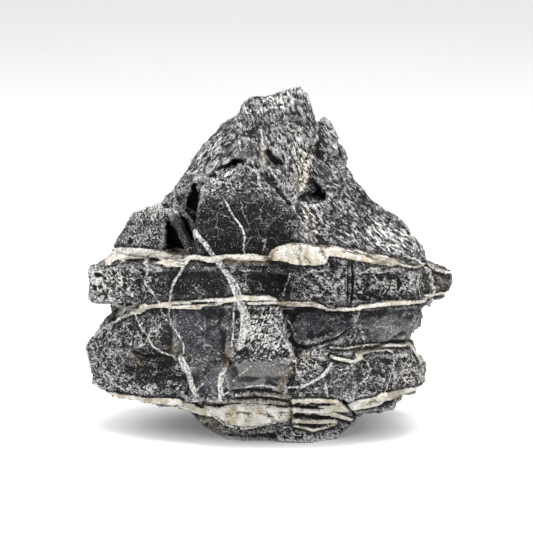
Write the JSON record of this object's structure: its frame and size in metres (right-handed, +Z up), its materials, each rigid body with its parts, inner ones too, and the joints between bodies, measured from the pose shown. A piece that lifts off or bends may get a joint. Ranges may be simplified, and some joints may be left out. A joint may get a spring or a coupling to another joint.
{
  "type": "seiryu stone",
  "caption": "Dark bedded limestone aquascape stone with white calcite beds and veins: a pointed hill over three broken slabs on a small flat foot.",
  "frame": {"origin": "on the ground under the middle of the stone's box", "axes": "+Z up from the flat foot, +X along the width of the front face, +Y away from the front face"},
  "size_m": [0.1822, 0.1328, 0.1701],
  "materials": {
    "grey_limestone": "rough broken blue-grey limestone with white calcite veins, matt"
  },
  "bodies": {
    "root": {"seiryu_stone": "grey_limestone"}
  },
  "joints": []
}
